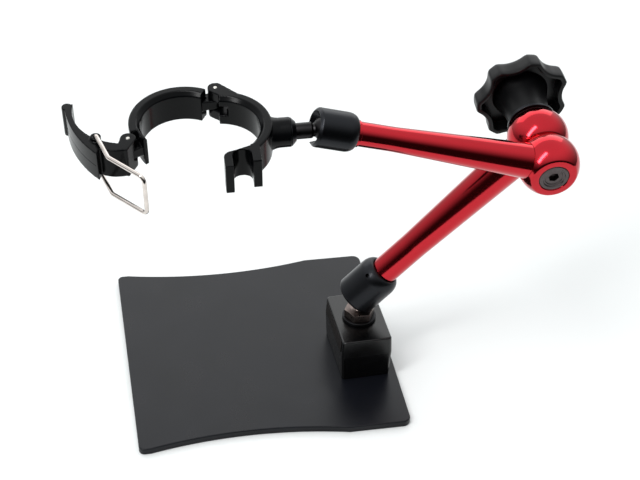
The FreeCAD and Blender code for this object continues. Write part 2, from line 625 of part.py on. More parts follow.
upper_stud = turned("upper_ball_stud", [
    ("0", "28"), ("2.4", "28"), ("3", "28.6"), ("3", "hub_end + 0.05"), ("upper_neck_r", "hub_end + 0.05"),
    ("upper_neck_r", "hub_reach - 6.4"), ("upper_neck_r - 0.5", "hub_reach - 5"),
    ("0", "hub_reach - 5")], STUD)
shape_on(upper_stud, "AdditiveSphere", "upper_ball_round", at(0, 0, S["hub_reach"]), Radius="upper_ball_r")
jam_nut = turned("hub_jam_nut", [
    ("upper_neck_r + 0.06", "hub_end + 0.05"), ("hub_r - 0.1", "hub_end + 0.05"), ("5", "hub_end + jam_nut"),
    ("upper_neck_r + 0.06", "hub_end + jam_nut")], STUD)

hinge_pin = post("jaw_hinge_pin", hinge, "pin_r", HALF_DOWN, HALF_UP)
hinge_pin.Placement = RING.multiply(hinge_pin.Placement)

# swing jaw, drawn closed on the ring
swing_band = band("swing_band", 95.5, 133.0)
swing_ear = post("swing_ear", hinge, "knuckle_r", "-1*knuckle_mid", "knuckle_mid")
swing_root = bar("swing_root", V(-7.5, 22.0, -mid), V(1.2, 29.4, mid), 9.0, hinge)
lever_ear = post("lever_ear", lever_pin, "knuckle_r", "-1*knuckle_mid", "knuckle_mid")
lever_root = bar("lever_root", V(22.0, -2.6, -mid), V(28.5, 2.8, mid), S["lever_pin_angle"])
lip_skin = ring_plug("lip_skin", "ring_inner + 2.4")
lip_part = common("swing_lip_thin", [band("swing_lip", 228.4, 19.0), lip_skin])
ear_clear = post("ear_clear", hinge, clear_r, HALF_DOWN + " - 1", HALF_UP + " + 1")
lever_clear = post("lever_clear", lever_pin, clear_r, HALF_DOWN + " - 1", HALF_UP + " + 1")
swing_wall = cut("swing_wall", fuse("swing_walls", [swing_band, lip_part]), [ear_clear, lever_clear])
swing_arms = cut("swing_arms", fuse("swing_arm_pieces", [swing_ear, swing_root, lever_ear, lever_root]),
                 [ring_plug("swing_keep", "ring_inner")])
swing_jaw = cut("swing_jaw", fuse("swing_blank", [swing_wall, swing_arms]), [
    post("swing_ear_hole", hinge, "pin_r + 0.05", HALF_DOWN, HALF_UP),
    post("lever_ear_hole", lever_pin, "pin_r + 0.03", HALF_DOWN, HALF_UP)])
swing_jaw.Placement = SWING

lever_pin_part = post("lever_hinge_pin", lever_pin, "pin_r", HALF_DOWN, HALF_UP)
lever_pin_part.Placement = SWING.multiply(lever_pin_part.Placement)

# toggle lever, drawn lying on the closed swing jaw
LUG = V(-27.2, -14.5, 0)
BACK_CENTRE = V(29.3, -17.2, 0)     # the blade's flatter outer curve
GRIP_CENTRE = V(-1.35, -5.2, 0)     # its inner curve
LINK_CENTRE = V(-14.5, -14.0, 0)    # the thin link back to the hinge


def lever_disc(name, centre, radius, extra=0.0):
    return solid("Cylinder", name, at(centre.x, centre.y, -half_ring - extra), Radius=radius,
                 Height="ring_high + %g" % (2 * extra))


def wedge_sector(name, start, sweep):
    """Pie slice about the ring's axis."""
    sector = solid("Cylinder", name, at(0, 0, -half_ring - 2, V(0, 0, 1), start), Radius="60",
                   Height="ring_high + 4")
    sector.Angle = sweep
    return sector


blade = common("lever_blade", [
    cut("lever_curve", lever_disc("lever_back", BACK_CENTRE, "lever_back_r"),
        [lever_disc("lever_grip_cut", GRIP_CENTRE, "lever_grip", 1.0)]),
    wedge_sector("lever_sector", 145.0, 70.4)])
link = common("lever_link", [
    cut("lever_link_curve", lever_disc("lever_link_disc", LINK_CENTRE, "lever_link_r"),
        [lever_disc("lever_grip_link", GRIP_CENTRE, "lever_grip", 1.0)]),
    wedge_sector("lever_link_sector", 210.0, 26.0)])
lever_ears = post("lever_ears", lever_pin, "knuckle_r", HALF_DOWN, HALF_UP)
neck_place = at(lever_pin.x, lever_pin.y, 0, V(0, 0, 1), 214.0).multiply(at(0, -3.1, -half_ring))
neck = solid("Box", "lever_neck", neck_place, Length="8.4", Width="6.2", Height="ring_high")
bead = post("lever_bead", polar(S["bead_at"], S["bead_angle"]), "bead_r", HALF_DOWN, HALF_UP)
boss = post("lever_boss", LUG, "boss_r", HALF_DOWN + " - boss_high", HALF_UP + " + boss_high")
ear_slot = post("lever_ear_slot", lever_pin, clear_r, MID_DOWN, MID_UP)
root_slot = bar("lever_root_slot", V(20.0, -7.5, -mid - play), V(29.0, 7.5, mid + play), S["lever_pin_angle"])
ear_bore = post("lever_ear_bore", lever_pin, "pin_r + 0.05", HALF_DOWN, HALF_UP)
wire_holes = [
    post("boss_hole_high", LUG, "wire_r + 0.08", HALF_UP + " - 3.2", HALF_UP + " + boss_high + 1"),
    post("boss_hole_low", LUG, "wire_r + 0.08", HALF_DOWN + " - boss_high - 1", HALF_DOWN + " + 3.2")]
lever = cut("lever", fuse("lever_pieces", [blade, link, lever_ears, neck, bead, boss]),
            [ear_slot, root_slot, ear_bore] + wire_holes)
lever.Placement = LEVER

# wire bail, hooked into both bosses
lug_open = about(lever_pin, LEVER_ANGLE).multVec(LUG)
lift = V(0, 0, S["wire_half"])
hook = V(0, 0, half_ring - 2.6)
bend = V(-13.6, -42.9, 0)
corner = V(8.6, -47.3, 0)
path = [lug_open + hook, lug_open + lift, bend + lift, corner + lift,
        corner - lift, bend - lift, lug_open - lift, lug_open - hook]
wire = []
for number in range(len(path) - 1):
    run = path[number + 1] - path[number]
    leg = doc.addObject("Part::Cylinder", "bail_leg_%d" % number)
    drive(leg, Radius="wire_r", Height=str(round(run.Length, 6)))
    leg.Placement = FreeCAD.Placement(path[number], FreeCAD.Rotation(V(0, 0, 1), run))
    wire.append(leg)
    if number:
        wire.append(solid("Sphere", "bail_bend_%d" % number, at(*path[number]), Radius="wire_r"))
bail = fuse("bail_wire", wire)
bail.Placement = SWING

# ---- check and write -----------------------------------------------------------------------
doc.recompute()
NODES = [plate, block, label, screws, washer, lower_stud, lower_pad, lower_nut, lower_tube, lower_rod,
         far_ball, near_ball, bolt, wedge, collar, knob, insert, upper_tube, upper_rod, upper_nut,
         upper_pad, upper_stud, jam_nut, fixed_jaw, hinge_pin, swing_jaw, lever_pin_part, lever, bail]

for item in doc.Objects:
    if "Invalid" in item.State or "Error" in item.State:
        raise RuntimeError("%s did not compute: %s" % (item.Label, item.State))
for node in NODES:
    if node.Shape.isNull() or not node.Shape.isValid():
        raise RuntimeError("%s has no valid shape" % node.Label)
    print("%-18s solids %d volume %.1f" % (node.Label, len(node.Shape.Solids), node.Shape.Volume))
for node in NODES:
    node.Shape.exportStep("parts/%s.step" % node.Label)
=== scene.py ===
"""Looks of the holder stand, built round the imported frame. Outlines are in millimetres."""
import json
import math

import bmesh
import bpy
from mathutils import Matrix, Vector


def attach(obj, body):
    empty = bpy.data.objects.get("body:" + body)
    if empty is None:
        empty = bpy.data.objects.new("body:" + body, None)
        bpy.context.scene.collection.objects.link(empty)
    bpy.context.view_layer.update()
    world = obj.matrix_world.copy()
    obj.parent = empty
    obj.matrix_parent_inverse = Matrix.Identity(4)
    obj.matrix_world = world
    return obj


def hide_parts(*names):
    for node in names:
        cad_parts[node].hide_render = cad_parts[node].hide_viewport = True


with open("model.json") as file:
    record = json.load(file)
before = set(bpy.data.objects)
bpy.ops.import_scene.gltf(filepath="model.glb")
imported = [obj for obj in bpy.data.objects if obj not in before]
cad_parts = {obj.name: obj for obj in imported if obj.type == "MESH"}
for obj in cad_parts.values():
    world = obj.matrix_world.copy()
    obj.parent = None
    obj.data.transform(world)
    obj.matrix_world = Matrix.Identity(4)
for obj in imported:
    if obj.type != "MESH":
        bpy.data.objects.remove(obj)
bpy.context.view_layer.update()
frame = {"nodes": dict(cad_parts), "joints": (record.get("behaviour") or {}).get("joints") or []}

MM = 0.001
ARC_STEP = 14.0          # degrees between the points of a rounded corner
LATHE_STEPS = 96         # faces round a turned piece
FINE_STEPS = 128         # the same for the large red pieces
SMALL_STEPS = 48         # the same for screws, pins and holes
SHARP_ANGLE = 34.0       # degrees above which an edge is shaded sharp
MOULDED_ANGLE = 60.0     # the same for moulded pieces, whose corners are all rounded
VOXEL = 0.25             # grid on which overlapping plastic pieces become one skin
SOFTEN_PASSES = 6        # smoothing that rounds a moulded piece's corners
KEPT_SHARE = 0.5         # share of the faces kept after that
joints = {joint["name"]: joint for joint in frame["joints"]}

# ---- driving dimensions ----------------------------------------------------------------------
PLATE_SIDE, PLATE_THICK, PLATE_CORNER = 150.0, 4.0, 4.5
PLATE_ARC, PLATE_ARC_DEPTH, PLATE_ARC_X = 260.0, 5.8, -14.0
BLOCK_WIDE, BLOCK_LONG, BLOCK_HIGH, BLOCK_PARTING = 29.0, 43.4, 27.5, 17.0
BLOCK_DRAFT, BLOCK_TURN, SCREW_PITCH = 2.6, 2.2, 26.0
STUD_HOLE_R, STUD_HOLE_DEEP = 3.95, 13.0
LABEL_WIDE, LABEL_LONG, LABEL_THICK = 8.0, 36.0, 0.3
LOWER_BALL, UPPER_BALL, ELBOW_BALL = 8.0, 6.7, 16.0
LOWER_ARM, UPPER_ARM, ELBOW_GAP = 137.4, 123.0, 20.7
LOWER_SEAT, UPPER_SEAT = 12.3, 13.0
ELBOW_FACE, ELBOW_OUTER = 10.3, 11.0
BOLT_R, BOLT_HEAD_R, BOLT_BORE, WEDGE_BORE = 4.0, 7.8, 4.1, 6.4
COLLAR_FLATS, KEY_FLATS = 15.0, 5.0
KNOB_R, KNOB_NEAR, KNOB_FAR, KNOB_SKIN, KNOB_ROOF, KNOB_FOOT = 25.2, 29.0, 39.0, 2.6, 3.0, 13.1
KNOB_LOBES, LOBE_START, SCALLOP_R, SCALLOP_AT = 7, 45.3, 14.0, 35.7
COLLAR_R = 12.9                  # ring between knob and far sphere
RING_OUTER, RING_INNER, RING_HIGH, HUB_REACH, HUB_R, HUB_END = 25.9, 20.2, 16.5, 52.3, 7.3, 34.9
RING_HALF = 0.5 * RING_HIGH
PIN_R, KNUCKLE_R, KNUCKLE_MID = 1.0, 3.8, 2.7
EAR_GAP = KNUCKLE_MID + 0.1      # half height of the space between two ears
TALL = 12.0                      # half height of a tool that cuts right through the clamp
OPEN_ANGLE, LEVER_ANGLE = 35.6, 69.0
PRONG_LEFT, PRONG_THICK, PRONG_GAP, PRONG_REACH = 0.6, 4.1, 9.3, 31.0
WIRE_R, WIRE_HALF, WIRE_BEND = 1.05, 11.2, 3.0


# ---- places ----------------------------------------------------------------------------------
def axis_of(name):
    return Vector(joints[name]["axis"]).normalized()


def spot_of(name):
    return Vector(joints[name]["pos_m"]) / MM


def placed(origin, z_axis, x_axis):
    """Rigid frame with its Z on one direction and its X as near as it can be to another."""
    x = (x_axis - z_axis * x_axis.dot(z_axis)).normalized()
    place = Matrix((x, z_axis.cross(x), z_axis)).transposed().to_4x4()
    place.translation = origin
    return place


def polar(radius, degrees, z=0.0):
    angle = math.radians(degrees)
    return Vector((radius * math.cos(angle), radius * math.sin(angle), z))


def spun(degrees, axis="Z"):
    return Matrix.Rotation(math.radians(degrees), 4, axis)


def about(point, degrees):
    """Turn about a point's own Z line."""
    return Matrix.Translation(point) @ spun(degrees) @ Matrix.Translation(-point)


elbow_axis = axis_of("elbow_fold")
lower_dir = axis_of("lower_roll")
upper_dir = axis_of("upper_roll")
ring_x = axis_of("upper_spin")
ring_z = axis_of("jaw_swing")
lower_ball = spot_of("lower_roll")
upper_ball = spot_of("upper_roll")
lower_elbow = lower_ball + lower_dir * LOWER_ARM
upper_elbow = lower_elbow + elbow_axis * ELBOW_GAP
ring_centre = upper_ball - ring_x * HUB_REACH

BASE = Matrix.Identity(4)
STUD_SPOT = Matrix.Translation((lower_ball.x, lower_ball.y, 0.0))
BLOCK = STUD_SPOT @ spun(BLOCK_TURN)
LOWER = placed(lower_ball, lower_dir, elbow_axis)
UPPER = placed(upper_ball, upper_dir, elbow_axis)
ELBOW = placed((lower_elbow + upper_elbow) / 2, elbow_axis, -lower_dir)
FAR = placed(lower_elbow, elbow_axis, -lower_dir)
NEAR = placed(upper_elbow, elbow_axis, -upper_dir)
KNOB = placed(lower_elbow, -elbow_axis, -lower_dir)
RING = placed(ring_centre, ring_z, ring_x)
STUD = placed(ring_centre, ring_x, -ring_z)

hinge = RING.inverted() @ spot_of("jaw_swing")
SWING = RING @ about(hinge, -OPEN_ANGLE)
lever_pin = SWING.inverted() @ spot_of("lever_swing")
LEVER = SWING @ about(lever_pin, LEVER_ANGLE)
lug = LEVER.inverted() @ spot_of("bail_swing")


# ---- outlines --------------------------------------------------------------------------------
def rounded(corners, closed=True):
    """Outline in which each (x, y, radius) corner becomes an arc. Corners with no radius stay sharp."""
    line = []
    last = len(corners) - 1
    for i, corner in enumerate(corners):
        here = Vector(corner[:2])
        radius = corner[2] if len(corner) > 2 else 0.0
        if radius == 0.0 or (not closed and i in (0, last)):
            line.append(tuple(here))
            continue
        before = Vector(corners[i - 1][:2]) - here
        after = Vector(corners[0 if i == last else i + 1][:2]) - here
        half = 0.5 * before.angle(after)
        if half > math.radians(89.5):
            line.append(tuple(here))
            continue
        reach = min(radius / math.tan(half), 0.48 * before.length, 0.48 * after.length)
        radius = reach * math.tan(half)
        middle = (before.normalized() + after.normalized()).normalized()
        centre = here + middle * (radius / math.sin(half))
        first = here + before.normalized() * reach - centre
        final = here + after.normalized() * reach - centre
        sweep = math.pi - 2.0 * half
        way = 1.0 if first.x * final.y - first.y * final.x > 0 else -1.0
        steps = max(2, math.ceil(math.degrees(sweep) / ARC_STEP))
        for k in range(steps + 1):
            line.append(tuple(centre + Matrix.Rotation(way * sweep * k / steps, 2) @ first))
    return line


def arc(x, y, radius, start, end, steps=24):
    """Points on a circle between two angles in degrees."""
    spots = [polar(radius, start + (end - start) * k / steps) for k in range(steps + 1)]
    return [(x + spot.x, y + spot.y) for spot in spots]


def hexagon(flats):
    return arc(0, 0, flats / math.sqrt(3.0), 0, 300, 5)


def hull(points):
    """Convex outline round a set of (x, y) points."""
    def chain(ordered):
        kept = []
        for p in ordered:
            while len(kept) > 1:
                a, b = kept[-2], kept[-1]
                if (b[0] - a[0]) * (p[1] - a[1]) - (b[1] - a[1]) * (p[0] - a[0]) > 1e-9:
                    break
                kept.pop()
            kept.append(p)
        return kept[:-1]
    ordered = sorted(set((round(x, 5), round(y, 5)) for x, y in points))
    return chain(ordered) + chain(ordered[::-1])


# ---- meshes ----------------------------------------------------------------------------------
def added(name, data):
    """New object in the scene."""
    obj = bpy.data.objects.new(name, data)
    bpy.context.scene.collection.objects.link(obj)
    return obj


def mesh_object(name, verts, faces):
    mesh = bpy.data.meshes.new(name)
    mesh.from_pydata(verts, [], faces)
    tidy = bmesh.new()
    tidy.from_mesh(mesh)
    bmesh.ops.remove_doubles(tidy, verts=tidy.verts, dist=1e-4)
    bmesh.ops.recalc_face_normals(tidy, faces=tidy.faces)
    tidy.to_mesh(mesh)
    tidy.free()
    return added(name, mesh)


def lathe(name, profile, steps=LATHE_STEPS, start=0.0, sweep=360.0):
    """Turn a closed (radius, height) outline about Z, all the way or through part of a turn."""
    full = sweep >= 360.0
    turns = steps if full else steps + 1
    count = len(profile)
    verts = []
    for i in range(turns):
        angle = start + sweep * i / steps
        verts += [tuple(polar(radius, angle, z)) for radius, z in profile]
    faces = []
    for i in range(steps):
        j = (i + 1) % turns
        for k in range(count):
            m = (k + 1) % count
            if profile[k][0] > 1e-6 or profile[m][0] > 1e-6:
                faces.append((i * count + k, j * count + k, j * count + m, i * count + m))
    if not full:
        faces.append(tuple(range(count)))
        faces.append(tuple(range((turns - 1) * count, turns * count)))
    return mesh_object(name, verts, faces)


def prism(name, outline, low, high):
    count = len(outline)
    verts = [(x, y, low) for x, y in outline] + [(x, y, high) for x, y in outline]
    faces = [tuple(range(count)), tuple(range(count, 2 * count))]
    for i in range(count):
        j = (i + 1) % count
        faces.append((i, j, count + j, count + i))
    return mesh_object(name, verts, faces)


def loft(name, sections):
    """Skin through closed sections of equal point counts, capped at both ends."""
    count = len(sections[0])
    verts = [point for section in sections for point in section]
    faces = [tuple(range(count)), tuple(range(len(verts) - count, len(verts)))]
    for s in range(len(sections) - 1):
        for i in range(count):
            j = (i + 1) % count
            faces.append((s * count + i, s * count + j, (s + 1) * count + j, (s + 1) * count + i))
    return mesh_object(name, verts, faces)


def moved(obj, place):
    obj.data.transform(place)
    return obj


def bake(obj):
    """Apply the modifiers to the mesh."""
    bpy.context.view_layer.update()
    graph = bpy.context.evaluated_depsgraph_get()
    mesh = bpy.data.meshes.new_from_object(obj.evaluated_get(graph))
    obj.modifiers.clear()
    obj.data = mesh
    return obj


def combined(target, others, operation):
    for other in others:
        change = target.modifiers.new(other.name, "BOOLEAN")
        change.operation = operation
        change.solver = "EXACT"
        change.object = other
    bake(target)
    for other in others:
        bpy.data.objects.remove(other, do_unlink=True)
    return target


def joined(first, *others):
    return combined(first, others, "UNION")


def carved(first, *others):
    return combined(first, others, "DIFFERENCE")


def eased(obj, width, segments, angle):
    """Round the edges that are sharper than an angle."""
    bevel = obj.modifiers.new("bevel", "BEVEL")
    bevel.width = width
    bevel.segments = segments
    bevel.limit_method = "ANGLE"
    bevel.angle_limit = math.radians(angle)
    return bake(obj)


def add_remesh(obj):
    skin = obj.modifiers.new("skin", "REMESH")
    skin.mode = "VOXEL"
    skin.voxel_size = VOXEL


def skinned(pieces, holes):
    """One closed skin round overlapping pieces, with holes cut through it."""
    obj = pieces[0]
    gathered = bmesh.new()
    for piece in pieces:
        gathered.from_mesh(piece.data)
    gathered.to_mesh(obj.data)
    gathered.free()
    for piece in pieces[1:]:
        bpy.data.objects.remove(piece, do_unlink=True)
    add_remesh(obj)
    return carved(bake(obj), *holes)


def moulded(pieces, holes):
    """Plastic piece with softly filleted corners."""
    obj = skinned(pieces, holes)
    add_remesh(obj)
    soften = obj.modifiers.new("soften", "SMOOTH")
    soften.factor = 0.5
    soften.iterations = SOFTEN_PASSES
    thin = obj.modifiers.new("thin", "DECIMATE")
    thin.ratio = KEPT_SHARE
    return bake(obj)


def shown(obj, place, body, slot, look, *nodes, sharp=SHARP_ANGLE):
    """Put a finished mesh in its place and tie it to the frame."""
    obj.data.transform(Matrix.Scale(MM, 4))
    home = place.copy()
    home.translation = place.translation * MM
    obj.matrix_world = home
    obj.data.materials.clear()
    obj.data.materials.append(look)
    obj.data.shade_smooth()
    obj.data.set_sharp_from_angle(angle=math.radians(sharp))
    normals = obj.modifiers.new("normals", "WEIGHTED_NORMAL")
    normals.keep_sharp = True
    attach(obj, body)
    if nodes:
        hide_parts(*nodes)
    return obj


# ---- materials -------------------------------------------------------------------------------
COAT_ROUGHNESS = 0.06
GRAIN_DEPTH, MOULD_DEPTH, LATHE_MARK = 0.00003, 0.00004, 0.00002     # metres of relief
EVEN = (1.0, 1.0, 1.0)


class Look:
    """A Principled material with its colour, roughness and fine relief driven by noise."""

    def __init__(self, name, colour, roughness, metallic=0.0, coat=0.0, specular=0.5):
        self.material = bpy.data.materials.new(name)
        self.material.use_nodes = True
        self.tree = self.material.node_tree
        self.shader = self.tree.nodes["Principled BSDF"]
        self.shader.inputs["Metallic"].default_value = metallic
        self.shader.inputs["Coat Weight"].default_value = coat
        self.shader.inputs["Coat Roughness"].default_value = COAT_ROUGHNESS
        self.shader.inputs["Specular IOR Level"].default_value = specular
        self.coords = self.tree.nodes.new("ShaderNodeTexCoord")
        self.colour, self.roughness = colour, roughness
        self.relief = None

    def link(self, source, target):
        self.tree.links.new(source, target)

    def noise(self, scale, detail, stretch=EVEN):
        mapping = self.tree.nodes.new("ShaderNodeMapping")
        mapping.inputs["Scale"].default_value = stretch
        self.link(self.coords.outputs["Object"], mapping.inputs["Vector"])
        texture = self.tree.nodes.new("ShaderNodeTexNoise")
        texture.inputs["Scale"].default_value = scale
        texture.inputs["Detail"].default_value = detail
        self.link(mapping.outputs["Vector"], texture.inputs["Vector"])
        return texture.outputs["Fac"]

    def ramp(self, factor, low, high):
        """Map a factor round its middle on to a colour or number pair."""
        ramp = self.tree.nodes.new("ShaderNodeValToRGB")
        ramp.color_ramp.elements[0].position = 0.3
        ramp.color_ramp.elements[0].color = low
        ramp.color_ramp.elements[1].position = 0.7
        ramp.color_ramp.elements[1].color = high
        self.link(factor, ramp.inputs["Fac"])
        return ramp.outputs["Color"]

    def tinted(self, scale, spread, stretch=EVEN):
        """Uneven colour."""
        low = [c * (1.0 - spread) for c in self.colour] + [1.0]
        high = [min(1.0, c * (1.0 + spread)) for c in self.colour] + [1.0]
        self.link(self.ramp(self.noise(scale, 4.0, stretch), low, high), self.shader.inputs["Base Color"])
        return self

    def smudged(self, scale, spread, stretch=EVEN):
        """Uneven gloss."""
        low, high = self.roughness - spread, self.roughness + spread
        shade = self.ramp(self.noise(scale, 5.0, stretch), [low] * 3 + [1.0], [high] * 3 + [1.0])
        self.link(shade, self.shader.inputs["Roughness"])
        return self

    def textured(self, height, strength, depth):
        """Add a height map to the surface relief."""
        bump = self.tree.nodes.new("ShaderNodeBump")
        bump.inputs["Strength"].default_value = strength
        bump.inputs["Distance"].default_value = depth
        self.link(height, bump.inputs["Height"])
        if self.relief:
            self.link(self.relief, bump.inputs["Normal"])
        self.relief = bump.outputs["Normal"]
        self.link(self.relief, self.shader.inputs["Normal"])
        return self

    def turned(self, pitch, strength):
        """Fine lathe marks round the local Z axis."""
        wave = self.tree.nodes.new("ShaderNodeTexWave")
        wave.bands_direction = "Z"
        wave.inputs["Scale"].default_value = 1.0 / (pitch * MM * 20.0)
        wave.inputs["Distortion"].default_value = 2.0
        wave.inputs["Detail"].default_value = 2.0
        self.link(self.coords.outputs["Object"], wave.inputs["Vector"])
        return self.textured(wave.outputs["Fac"], strength, LATHE_MARK)


def painted_steel():
    look = Look("plate_enamel", (0.0036, 0.0041, 0.0064), 0.30, specular=0.25)
    look.tinted(26.0, 0.22).smudged(34.0, 0.04)
    return look.textured(look.noise(1500.0, 2.0), 0.08, GRAIN_DEPTH).material


def moulded_plastic(name, colour, roughness, grain, specular=0.22):
    look = Look(name, colour, roughness, specular=specular)
    look.tinted(90.0, 0.20).smudged(90.0, 0.03)
    return look.textured(look.noise(2600.0, 3.0), grain, MOULD_DEPTH).material


def anodised(name, colour, roughness, coat):
    look = Look(name, colour, roughness, metallic=1.0, coat=coat)
    look.tinted(30.0, 0.08, (1.0, 1.0, 0.3)).smudged(60.0, 0.03, (1.0, 1.0, 0.2))
    return look.turned(0.35, 0.05).material


def plain_steel(name, colour, roughness):
    look = Look(name, colour, roughness, metallic=1.0)
    look.tinted(160.0, 0.16).smudged(220.0, 0.08)
    return look.turned(0.25, 0.12).material


PLATE_LOOK = painted_steel()
BLOCK_LOOK = moulded_plastic("block_plastic", (0.0008, 0.0008, 0.0010), 0.24, 0.03, 0.45)
LABEL_LOOK = moulded_plastic("label_film", (0.010, 0.008, 0.007), 0.36, 0.05, 0.2)
KNOB_LOOK = moulded_plastic("knob_plastic", (0.0030, 0.0030, 0.0034), 0.34, 0.20)
CLAMP_LOOK = moulded_plastic("clamp_plastic", (0.0016, 0.0018, 0.0022), 0.20, 0.04, 0.12)
NYLON_LOOK = moulded_plastic("pad_nylon", (0.55, 0.53, 0.48), 0.45, 0.10)
RED_LOOK = anodised("red_anodised", (0.50, 0.015, 0.025), 0.13, 0.25)
NUT_LOOK = anodised("black_anodised", (0.021, 0.022, 0.025), 0.34, 0.1)
NECK_LOOK = plain_steel("dark_steel", (0.022, 0.021, 0.022), 0.34)
BOLT_LOOK = plain_steel("black_oxide", (0.095, 0.080, 0.080), 0.36)
STUD_LOOK = plain_steel("stud_steel", (0.16, 0.13, 0.12), 0.32)
STEEL_LOOK = plain_steel("ground_steel", (0.62, 0.60, 0.56), 0.24)
WASHER_LOOK = plain_steel("washer_steel", (0.025, 0.025, 0.027), 0.40)
BRASS_LOOK = plain_steel("turned_brass", (0.72, 0.50, 0.20), 0.28)
WIRE_LOOK = plain_steel("nickel_wire", (0.66, 0.60, 0.56), 0.12)


# ---- base ------------------------------------------------------------------------------------
def plate_outline():
    """Square with rounded corners; the near and far edges are shallow arcs."""
    half = 0.5 * PLATE_SIDE
    rise = half + PLATE_ARC - PLATE_ARC_DEPTH      # arc centre's distance from the middle
    reach = math.sqrt(PLATE_ARC ** 2 - (rise - half) ** 2)
    corners = []
    for side in (-1.0, 1.0):
        right = min(PLATE_ARC_X + reach, half)
        left = max(PLATE_ARC_X - reach, -half)
        spread = [left + (right - left) * k / 40 for k in range(41)]
        edge = [(x, side * (rise - math.sqrt(PLATE_ARC ** 2 - (x - PLATE_ARC_X) ** 2))) for x in spread]
        if left > -half:
            edge.insert(0, (-half, side * half, PLATE_CORNER))
        if right < half:
            edge.append((half, side * half, PLATE_CORNER))
        edge[0] = (edge[0][0], edge[0][1], PLATE_CORNER)
        edge[-1] = (edge[-1][0], edge[-1][1], PLATE_CORNER)
        corners += edge if side < 0 else edge[::-1]
    return rounded(corners)


def screw_spots():
    spots = [BLOCK @ Vector((0.0, side * 0.5 * SCREW_PITCH, 0.0)) for side in (-1, 1)]
    return [Matrix.Translation(spot) for spot in spots]


def make_plate():
    plate = prism("plate", plate_outline(), 0.0, PLATE_THICK)
    plate = eased(plate, 0.7, 4, 60.0)
    sinks = []
    for spot in screw_spots():
        sink = lathe("sink", [(0.0, -1.0), (5.1, -1.0), (5.1, 0.0), (2.7, 2.4), (2.7, 6.0), (0.0, 6.0)],
                     SMALL_STEPS)
        sinks.append(moved(sink, spot))
    shown(carved(plate, *sinks), BASE, "base", "plate_steel", PLATE_LOOK, "base_plate")


def block_section(inset, z):
    """Rounded rectangle of the block at one height."""
    wide, long = 0.5 * BLOCK_WIDE - inset, 0.5 * BLOCK_LONG - inset
    outline = rounded([(wide, long, 1.6), (-wide, long, 1.6), (-wide, -long, 1.6), (wide, -long, 1.6)])
    return [(x, y, z) for x, y in outline]


def make_block():
    slope = math.tan(math.radians(BLOCK_DRAFT))
    bottom, parting, top = PLATE_THICK, PLATE_THICK + BLOCK_PARTING, PLATE_THICK + BLOCK_HIGH
    edge = 0.9
    levels = [(slope * BLOCK_PARTING + 0.4, bottom + 0.02), (slope * BLOCK_PARTING, bottom + 0.5),
              (0.06, parting - 0.35), (0.14, parting - 0.12), (0.14, parting + 0.12), (0.06, parting + 0.35)]
    inset_top = slope * (BLOCK_HIGH - BLOCK_PARTING)
    levels.append((inset_top - slope * edge, top - edge))
    for k in range(1, 6):
        turn = math.radians(18.0 * k)
        levels.append((inset_top + edge * (1 - math.cos(turn)), top - edge * (1 - math.sin(turn))))
    block = loft("block", [block_section(inset, z) for inset, z in levels])
    hole = lathe("hole", [(0, 0), (STUD_HOLE_R, 0), (STUD_HOLE_R, 14), (0, 14)], SMALL_STEPS)
    hole = moved(hole, Matrix.Translation((0, 0, top - STUD_HOLE_DEEP)))
    shown(carved(block, hole), BLOCK, "base", "block_black", BLOCK_LOOK, "block_body")

    mid = 0.5 * (BLOCK_HIGH - BLOCK_PARTING)
    wide, long, corner = 0.5 * LABEL_WIDE, 0.5 * LABEL_LONG, 0.9
    strip = rounded([(x, y, corner) for x, y in ((-wide, -long), (wide, -long), (wide, long), (-wide, long))])
    label = eased(prism("label", strip, 0.0, LABEL_THICK), 0.1, 2, 60.0)
    lean = spun(-90.0 + BLOCK_DRAFT, "Y")
    spot = Matrix.Translation((-0.5 * BLOCK_WIDE + mid * slope - 0.02, 0.0, parting + mid))
    shown(label, BLOCK @ spot @ lean, "base", "label_film", LABEL_LOOK, "block_label")


def make_screws():
    screws = []
    shank, head, length = 2.5, 4.9, 15.0
    profile = rounded([(0, 0.15), (head, 0.15, 0.15), (shank, 2.6), (shank, length, 0.6), (0, length)])
    for spot in screw_spots():
        blank = lathe("screw", profile, SMALL_STEPS)
        drive = prism("drive", arc(0, 0, 1.7, 0, 300, 5), -0.5, 1.8)
        screws.append(moved(carved(blank, drive), spot))
    shown(joined(*screws), BASE, "base", "screw_steel", STEEL_LOOK, "block_screws")


def make_stud():
    top = PLATE_THICK + BLOCK_HIGH
    bore, rim, low, high = 3.98, 9.5, top + 0.02, top + 2.0
    washer = lathe("washer", rounded([
        (bore, low, 0.2), (rim, low, 0.35), (rim, high, 0.45), (bore, high, 0.2)]))
    shown(washer, STUD_SPOT, "lower_swivel", "washer_black", WASHER_LOOK, "stud_washer")

    foot = top + 2.04
    crown = foot + 4.7
    collar = prism("collar", hexagon(COLLAR_FLATS), foot, crown)
    trim = lathe("trim", [
        (0, foot - 1), (11, foot - 1), (11, crown - 1.35), (7.3, crown + 0.02), (0, crown + 0.02)])
    collar = eased(combined(collar, [trim], "INTERSECT"), 0.25, 2, 25.0)
    neck_foot = crown - 0.4
    ball_z = lower_ball.z
    ball = arc(0, ball_z, LOWER_BALL, -64.0, 90.0, 30)
    end, shank, step, neck_r = top - 11.5, 3.9, 5.6, 3.4
    neck = rounded([
        (0, end), (shank, end, 0.5), (shank, foot + 1), (step, foot + 1), (step, neck_foot + 0.4),
        (neck_r, neck_foot + 1.2, 1.2), (neck_r, ball_z - 7.6, 0.4)])
    stem = lathe("stem", neck + ball[1:])
    shown(joined(collar, stem), STUD_SPOT, "base", "stud_steel", STUD_LOOK, "lower_ball_stud")


